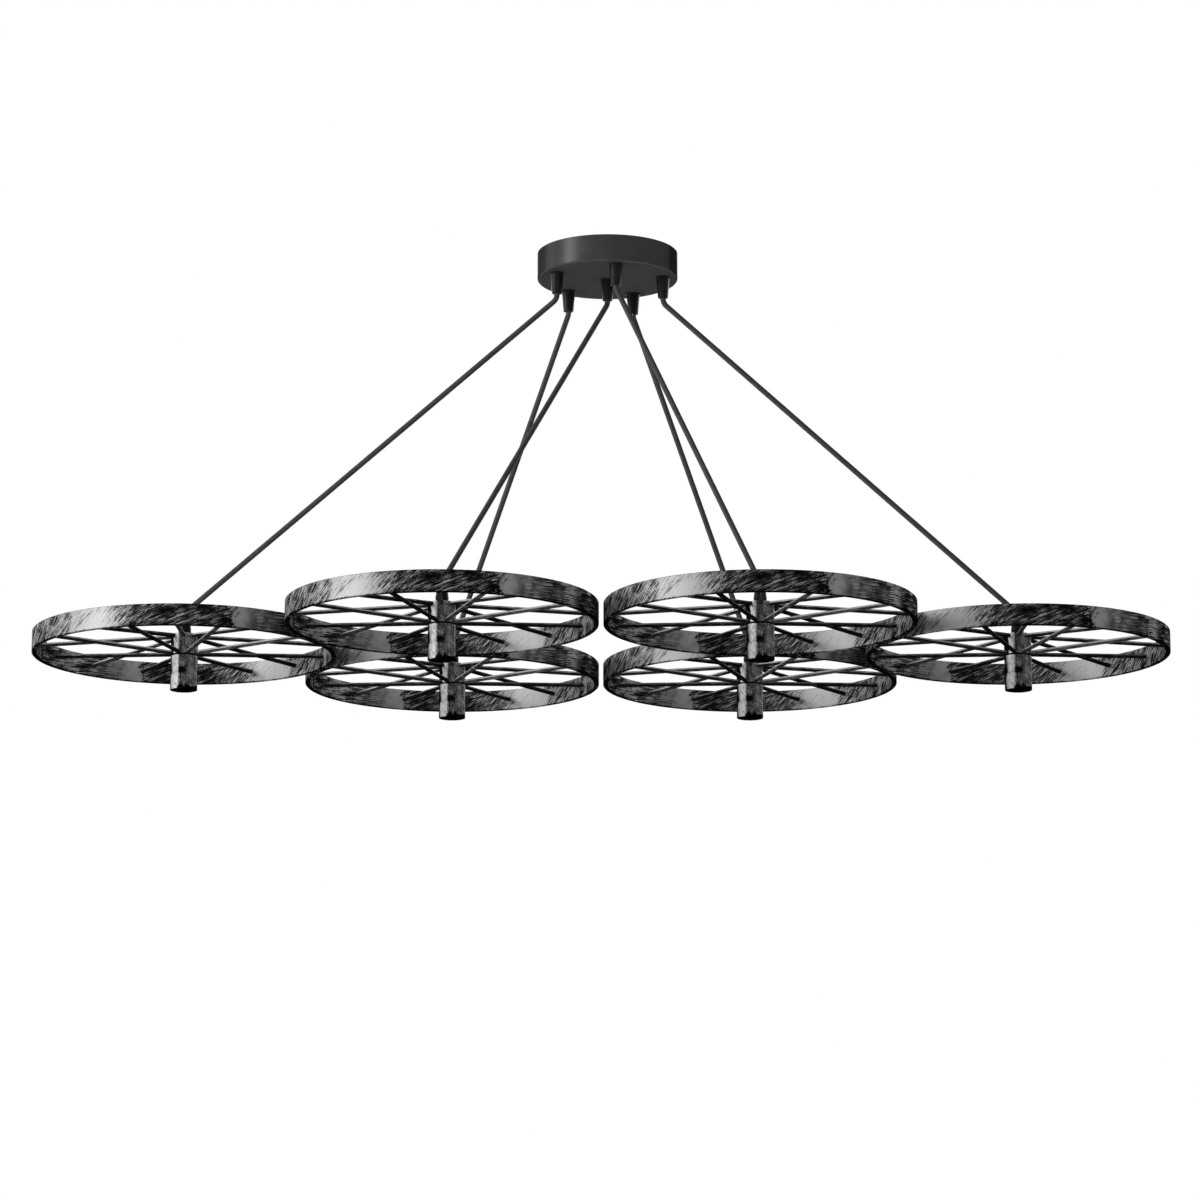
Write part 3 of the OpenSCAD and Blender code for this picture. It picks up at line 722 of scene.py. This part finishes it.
def add_screw_shell(bm, bottom, top, radius, settings):
    """A sheet tube with a rounded thread rolled into it, from bottom to top about +Z."""
    pitch, depth = settings.thread_pitch, settings.thread_depth
    turns = math.ceil((top - bottom) / pitch) + 2
    steps = 12
    wave = [(radius - depth / 2 * (1 - math.cos(2 * math.pi * k / steps)), 0,
             bottom + (k / steps - 1.5) * pitch) for k in range(steps + 1)]
    bmesh.ops.spin(bm, geom=line_of(bm, wave), cent=(0, 0, 0), axis=(0, 0, 1),
                   dvec=(0, 0, pitch / settings.turn_steps), angle=2 * math.pi * turns,
                   steps=settings.turn_steps * turns, use_duplicate=False)
    bmesh.ops.remove_doubles(bm, verts=bm.verts[:], dist=0.01 * MM)
    for height, way in ((bottom, -1), (top, 1)):
        bmesh.ops.bisect_plane(bm, geom=bm.verts[:] + bm.edges[:] + bm.faces[:], dist=1e-6,
                               plane_co=(0, 0, height), plane_no=(0, 0, way), clear_outer=True)
    bmesh.ops.recalc_face_normals(bm, faces=bm.faces[:])
    face = bm.faces[:][0]
    middle = face.calc_center_median()
    if face.normal.dot(Vector((middle.x, middle.y, 0))) < 0:
        bmesh.ops.reverse_faces(bm, faces=bm.faces[:])
    bmesh.ops.solidify(bm, geom=bm.faces[:], thickness=settings.shell_thickness)


def add_contact(bm, bottom, top, radius):
    """A domed centre contact, narrower at its tip below."""
    middle = (top + bottom) / 2
    made = bmesh.ops.create_cone(bm, cap_ends=True, segments=48, radius1=radius * 0.66,
                                 radius2=radius, depth=top - bottom)["verts"]
    bmesh.ops.translate(bm, verts=made, vec=(0, 0, middle))
    tip = [e for e in edges_of(made) if all(v.co.z < middle for v in e.verts)]
    bevelled(bm, tip, 0.7 * MM, 4)


def add_weld_bead(bm, width, spoke_radius, distance, tilt, turn):
    """A ring of weld round a tilted spoke's end, at a distance and a turn about the axis."""
    made = bmesh.ops.create_circle(bm, segments=10, radius=width / 2)["verts"]
    bmesh.ops.rotate(bm, verts=made, cent=(0, 0, 0), matrix=Matrix.Rotation(math.pi / 2, 3, "X"))
    bmesh.ops.translate(bm, verts=made, vec=(spoke_radius, 0, 0))
    before = set(bm.verts) - set(made)
    bmesh.ops.spin(bm, geom=made + edges_of(made), cent=(0, 0, 0), axis=(0, 0, 1),
                   dvec=(0, 0, 0), angle=2 * math.pi, steps=28, use_merge=True)
    ring = [v for v in bm.verts if v not in before]
    bmesh.ops.rotate(bm, verts=ring, cent=(0, 0, 0),
                     matrix=Matrix.Rotation(math.pi / 2 + tilt, 3, "Y"))
    bmesh.ops.translate(bm, verts=ring, vec=(distance, 0, 0))
    bmesh.ops.rotate(bm, verts=ring, cent=(0, 0, 0), matrix=Matrix.Rotation(turn, 3, "Z"))


def add_slotted_head(bm, centre):
    """A round screw head that faces down, with a slot across it. It is made at the origin, where
    no other head is, and moved from there."""
    def head():
        return [v for v in bm.verts if v.co.length < SCREW_RADIUS * 2]

    made = bmesh.ops.create_cone(bm, cap_ends=True, segments=32, radius1=SCREW_RADIUS,
                                 radius2=SCREW_RADIUS, depth=SCREW_HEIGHT)["verts"]
    bevelled(bm, [e for e in edges_of(made) if all(v.co.z < 0 for v in e.verts)],
             SCREW_HEIGHT * 0.2)
    for side in (-1, 1):
        bmesh.ops.bisect_plane(bm, geom=head() + edges_of(head()) + faces_of(head()), dist=1e-7,
                               plane_co=(side * SCREW_SLOT / 2, 0, 0), plane_no=(1, 0, 0))
    floor = [f for f in faces_of(head())
             if f.normal.z < -0.9 and abs(f.calc_center_median().x) < SCREW_SLOT / 2]
    sunk = bmesh.ops.extrude_face_region(bm, geom=floor)["geom"]
    bmesh.ops.delete(bm, geom=floor, context="FACES")
    bmesh.ops.translate(bm, verts=[g for g in sunk if isinstance(g, bmesh.types.BMVert)],
                        vec=(0, 0, SCREW_HEIGHT * 0.55))
    bmesh.ops.translate(bm, verts=head(), vec=centre)


def cord_route(top, foot, settings):
    """Points of a cord from one flex point to the other: straight, bent, straight to its wheel,
    bent back and straight again."""
    way = Vector((foot.x - top.x, foot.y - top.y, 0))
    run = way.length
    way.normalize()
    bend, stub = settings.bend_radius, settings.stub
    fall = top.z - foot.z - 2 * stub
    straight = math.sqrt((run - 2 * bend) ** 2 + fall ** 2 - (2 * bend) ** 2)
    lean = math.atan2(run - 2 * bend, fall) + math.atan2(2 * bend, straight)
    steps, middle_steps = 8, 5
    upper = [(0, 0)] + [(bend * (1 - math.cos(lean * k / steps)),
                         -stub - bend * math.sin(lean * k / steps)) for k in range(steps + 1)]
    lower = [(run - x, foot.z - top.z - z) for x, z in reversed(upper)]
    start, end = Vector(upper[-1]), Vector(lower[0])
    middle = [tuple(start.lerp(end, k / middle_steps)) for k in range(1, middle_steps)]
    return [top + way * x + Vector((0, 0, z)) for x, z in upper + middle + lower]


def tube(name, routes, diameter, material, bezier=False):
    """A round tube along each route, as one curve object. A route is a row of points, or with
    bezier its start, two handles and its end."""
    curve = bpy.data.curves.new(name, "CURVE")
    curve.dimensions = "3D"
    curve.bevel_depth = diameter / 2
    curve.bevel_resolution = 6
    curve.use_fill_caps = True
    for route in routes:
        spline = curve.splines.new("BEZIER" if bezier else "POLY")
        if bezier:
            spline.bezier_points.add(1)
            first, last = spline.bezier_points
            first.co, first.handle_right, last.handle_left, last.co = route
            first.handle_left = first.co * 2 - first.handle_right
            last.handle_right = last.co * 2 - last.handle_left
            spline.resolution_u = 24
        else:
            spline.points.add(len(route) - 1)
            for point, place in zip(spline.points, route):
                point.co = (*place, 1)
            spline.use_smooth = True
    curve.materials.append(material)
    piece = bpy.data.objects.new(name, curve)
    bpy.context.scene.collection.objects.link(piece)
    return piece


# ---- operators ----

class CHANDELIER_OT_finish_wheels(bpy.types.Operator):
    """Give the rims, spokes, hubs and lamp cups their brushed finish"""

    bl_idname = "chandelier.finish_wheels"
    bl_label = "Finish the Wheels"

    def execute(self, context):
        settings = context.scene.chandelier_iron
        for place in PLACES:
            rim = rim_finish(place, settings)
            give("rim_" + place, rim)
            give("spokes_" + place, spoke_finish(place, settings))
            hub = hub_finish(place, settings)
            give("hub_" + place, hub)
            give("lamp_cup_" + place, hub)
            self.make_welds(place, rim, settings)
        return {"FINISHED"}

    def make_welds(self, place, material, settings):
        """The weld round each spoke's end at the rim."""
        bm = bmesh.new()
        inner = RIM_RADIUS - settings.rim_thickness
        spoke_radius = settings.spoke_diameter / 2
        rise = HALF_HEIGHT - spoke_radius - settings.spoke_inset
        slope = math.atan2(rise, inner - HUB_RADIUS)
        for k in range(len(PAINTED_SPOKE_LIGHT)):
            tilt = slope if k % 2 == 0 else -slope
            add_weld_bead(bm, settings.weld_width, spoke_radius, inner - settings.weld_offset,
                          tilt, k * 2 * math.pi / len(PAINTED_SPOKE_LIGHT))
        bmesh.ops.recalc_face_normals(bm, faces=bm.faces[:])
        bmesh.ops.translate(bm, verts=bm.verts[:], vec=wheel_centre(place))
        new_piece("spoke_welds_" + place, bm, material, "wheel_" + place)


class CHANDELIER_OT_make_sockets(bpy.types.Operator):
    """Make the threaded screw shells and centre contacts, and finish the socket bodies"""

    bl_idname = "chandelier.make_sockets"
    bl_label = "Make the Lamp Sockets"

    def execute(self, context):
        settings = context.scene.chandelier_socket
        moulded = moulded_finish("Socket moulding", settings.moulding, 0.5)
        brass = plated_finish("Contact brass", settings.brass, 0.28)
        low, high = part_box("socket_contacts_left")
        pattern = bmesh.new()
        shell_top = high.z - settings.contact_height
        add_screw_shell(pattern, low.z, shell_top, (high.x - low.x) / 2, settings)
        add_contact(pattern, shell_top, high.z, settings.contact_radius)
        for place in PLACES:
            give("lamp_socket_" + place, moulded)
            node = "socket_contacts_" + place
            low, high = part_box(node)
            bm = pattern.copy()
            bmesh.ops.translate(bm, verts=bm.verts[:],
                                vec=((low.x + high.x) / 2, (low.y + high.y) / 2, 0))
            shell = new_piece("screw_shell_" + place, bm, brass, "wheel_" + place)
            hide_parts(node)
        pattern.free()
        return {"FINISHED"}


class CHANDELIER_OT_make_cords(bpy.types.Operator):
    """Make the six cords from the canopy to the wheels"""

    bl_idname = "chandelier.make_cords"
    bl_label = "Make the Cords"

    def execute(self, context):
        settings = context.scene.chandelier_cord
        cover = moulded_finish("Cord cover", settings.cover, 0.6, 0.04)
        for place in PLACES:
            node = "cord_" + place
            top, foot = joint_place("swing_" + place), joint_place("level_" + place)
            route = cord_route(top, foot, settings)
            piece = tube("hanging_cord_" + place, [route], settings.diameter, cover)
            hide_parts(node)
            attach(piece, node)
        return {"FINISHED"}


class CHANDELIER_OT_finish_grips(bpy.types.Operator):
    """Give the cord grips at both ends of the cords their glossy black"""

    bl_idname = "chandelier.finish_grips"
    bl_label = "Finish the Cord Grips"

    def execute(self, context):
        settings = context.scene.chandelier_canopy
        for place in PLACES:
            give("hub_grip_" + place,
                 grip_finish("Hub grip", place, HUB_GRIP_GLOSS, settings))
            give("canopy_grip_" + place,
                 grip_finish("Canopy grip", place, CANOPY_GRIP_GLOSS, settings))
        return {"FINISHED"}


class CHANDELIER_OT_finish_canopy(bpy.types.Operator):
    """Finish the canopy and what is inside it, and make the leads"""

    bl_idname = "chandelier.finish_canopy"
    bl_label = "Finish the Canopy"

    def execute(self, context):
        settings = context.scene.chandelier_canopy
        give("canopy_shell", canopy_finish(settings))
        zinc = plated_finish("Zinc plating", settings.zinc, 0.4)
        give("ceiling_bracket", zinc)
        give("grip_locknuts", zinc)
        give("side_screws", moulded_finish("Blackened screws", settings.side_screws, 0.4))
        give("terminal_block", moulded_finish("Terminal plastic", settings.terminal, 0.45))
        self.make_leads(context.scene.chandelier_cord)
        self.make_terminal_screws(zinc)
        return {"FINISHED"}

    def make_leads(self, settings):
        """The leads inside the canopy, up out of the grips and round to the terminal block."""
        low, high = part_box("terminal_block")
        middle = (low + high) / 2
        routes = []
        for place, entry, side, reach in LEAD_ENDS:
            start = joint_place("swing_" + place)
            start.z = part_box("canopy_grip_" + place)[1].z - 2 * MM
            end = Vector((middle.x + entry * ENTRY_PITCH, high.y if side > 0 else low.y, middle.z))
            rise = Vector((0, 0, high.z - 3 * MM - start.z))
            out = Vector((0, side * reach, 0))
            routes.append((start, start + rise, end + out, end))
        cover = moulded_finish("Lead cover", settings.lead_cover, 0.5)
        piece = tube("lamp_wiring", routes, settings.lead_diameter, cover, bezier=True)
        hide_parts("lamp_leads")
        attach(piece, "canopy")

    def make_terminal_screws(self, zinc):
        """Six slotted screw heads at the ends of the block's wells."""
        low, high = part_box("terminal_block")
        middle = (low + high) / 2
        bm = bmesh.new()
        for k in (-1, 0, 1):
            for side in (-1, 1):
                add_slotted_head(bm, (middle.x + k * ENTRY_PITCH,
                                      middle.y + side * (high.y - low.y) / 4,
                                      low.z + SCREW_RISE))
        new_piece("terminal_screws", bm, zinc, "canopy")


# Name, bearing from the front towards the left in degrees, distance, height over the middle
# of the object, width and height in metres, and power in watts
SOFT_LIGHTS = [
    ("Tall soft light on the left", 64, 3.2, 0.55, (0.6, 2.6), 70),
    ("Wide soft light in front", 22, 5.0, -0.2, (2.5, 1.5), 22),
    ("Soft light behind on the right", -128, 3.5, 0.6, (1.2, 2.2), 40),
    ("Soft light behind on the left", 112, 3.5, 0.5, (1.5, 2.4), 34),
    ("Wide soft light behind", 180, 4.0, 1.2, (2.5, 2.0), 80),
]


class CHANDELIER_OT_make_stage(bpy.types.Operator):
    """Make the camera, the soft lights, the white surroundings and the pale floor"""

    bl_idname = "chandelier.make_stage"
    bl_label = "Make the Stage"

    def execute(self, context):
        settings = context.scene.chandelier_stage
        scene = context.scene
        scene.view_settings.view_transform = "Standard"
        make_camera(scene, settings)
        make_world(scene, settings)
        make_floor(settings)
        middle = (cad_low + cad_high) / 2
        for name, bearing, distance, rise, size, power in SOFT_LIGHTS:
            make_light(name, middle, bearing, distance, rise, size, power)
        return {"FINISHED"}


def make_camera(scene, settings):
    """The camera where the photo was taken from, level and looking up."""
    data = bpy.data.cameras.new("Camera")
    data.lens = settings.lens
    data.sensor_width = 36.0
    camera = bpy.data.objects.new("Camera", data)
    camera.location = settings.camera_place
    camera.rotation_euler = (math.radians(90) + settings.pitch, 0, 0)
    scene.collection.objects.link(camera)
    scene.camera = camera


def seen_rays(w):
    """1 for rays from the camera, off gloss and through glass, and 0 for all others."""
    rays = w.node("ShaderNodeLightPath").outputs
    return w.math("MAXIMUM", rays["Is Camera Ray"],
                  w.math("MAXIMUM", rays["Is Glossy Ray"], rays["Is Transmission Ray"]))


def make_world(scene, settings):
    """White where the camera, a reflection or glass sees it, and an even light elsewhere."""
    world = bpy.data.worlds.new("White studio")
    world.use_nodes = True
    world.node_tree.nodes.clear()
    w = Wiring(world.node_tree)
    strength = w.mixed(seen_rays(w), settings.room_light, 1.0)
    back = w.node("ShaderNodeBackground", {"Color": (1, 1, 1, 1), "Strength": strength})
    w.node("ShaderNodeOutputWorld", {"Surface": back.outputs["Background"]})
    scene.world = world


def make_floor(settings):
    """A pale floor that is clear from below."""
    bm = bmesh.new()
    bmesh.ops.create_grid(bm, x_segments=1, y_segments=1, size=12.0)
    bmesh.ops.translate(bm, verts=bm.verts, vec=(0, 0, -settings.floor_drop))
    mesh = bpy.data.meshes.new("Floor")
    bm.to_mesh(mesh)
    bm.free()
    material, w, shader = new_material("Pale floor")
    shader.inputs["Base Color"].default_value = (*settings.floor_colour, 1)
    shader.inputs["Roughness"].default_value = 0.9
    shader.inputs["Emission Color"].default_value = (1, 1, 1, 1)
    w.feed(shader.inputs["Emission Strength"],
           w.math("MULTIPLY", seen_rays(w), settings.floor_glow))
    clear = w.node("ShaderNodeBsdfTransparent")
    from_below = w.node("ShaderNodeNewGeometry").outputs["Backfacing"]
    both = w.node("ShaderNodeMixShader", {
        "Fac": from_below, 1: shader.outputs["BSDF"], 2: clear.outputs["BSDF"]})
    w.feed(material.node_tree.get_output_node("ALL").inputs["Surface"], both.outputs["Shader"])
    mesh.materials.append(material)
    floor = bpy.data.objects.new("Floor", mesh)
    bpy.context.scene.collection.objects.link(floor)


def make_light(name, middle, bearing, distance, rise, size, power):
    """A rectangular soft light that faces the middle of the object."""
    data = bpy.data.lights.new(name, "AREA")
    data.shape = "RECTANGLE"
    data.size, data.size_y = size
    data.energy = power
    a = math.radians(bearing)
    place = middle + Vector((-distance * math.sin(a), -distance * math.cos(a), rise))
    light = bpy.data.objects.new(name, data)
    light.matrix_world = Matrix.Translation(place) @ (
        (middle - place).to_track_quat("-Z", "Y").to_matrix().to_4x4())
    light.visible_camera = False
    bpy.context.scene.collection.objects.link(light)


class CHANDELIER_PT_panel(bpy.types.Panel):
    """Lists the chandelier's operators in the sidebar"""

    bl_idname = "CHANDELIER_PT_panel"
    bl_label = "Wagon Wheel Chandelier"
    bl_space_type = "VIEW_3D"
    bl_region_type = "UI"
    bl_category = "Chandelier"

    def draw(self, context):
        for operator in OPERATORS:
            self.layout.operator(operator.bl_idname)
        for name in SETTINGS:
            group = getattr(context.scene, name)
            box = self.layout.box()
            for key in group.bl_rna.properties.keys():
                if key not in ("rna_type", "name"):
                    box.prop(group, key)


OPERATORS = (
    CHANDELIER_OT_make_stage, CHANDELIER_OT_make_cords, CHANDELIER_OT_finish_wheels,
    CHANDELIER_OT_make_sockets, CHANDELIER_OT_finish_grips, CHANDELIER_OT_finish_canopy,
)
SETTINGS = {
    "chandelier_iron": IronSettings, "chandelier_cord": CordSettings,
    "chandelier_canopy": CanopySettings, "chandelier_socket": SocketSettings,
    "chandelier_stage": StageSettings,
}


def register():
    """Adds the settings, the operators and the panel to Blender."""
    for name, group in SETTINGS.items():
        bpy.utils.register_class(group)
        setattr(bpy.types.Scene, name, PointerProperty(type=group))
    for cls in OPERATORS:
        bpy.utils.register_class(cls)
    bpy.utils.register_class(CHANDELIER_PT_panel)


def unregister():
    """Takes them out again."""
    bpy.utils.unregister_class(CHANDELIER_PT_panel)
    for cls in reversed(OPERATORS):
        bpy.utils.unregister_class(cls)
    for name, group in SETTINGS.items():
        delattr(bpy.types.Scene, name)
        bpy.utils.unregister_class(group)


def main():
    """Builds the whole visual model."""
    register()
    bpy.ops.chandelier.make_stage()
    bpy.ops.chandelier.make_cords()
    bpy.ops.chandelier.finish_wheels()
    bpy.ops.chandelier.make_sockets()
    bpy.ops.chandelier.finish_grips()
    bpy.ops.chandelier.finish_canopy()


if __name__ == "__main__":
    main()
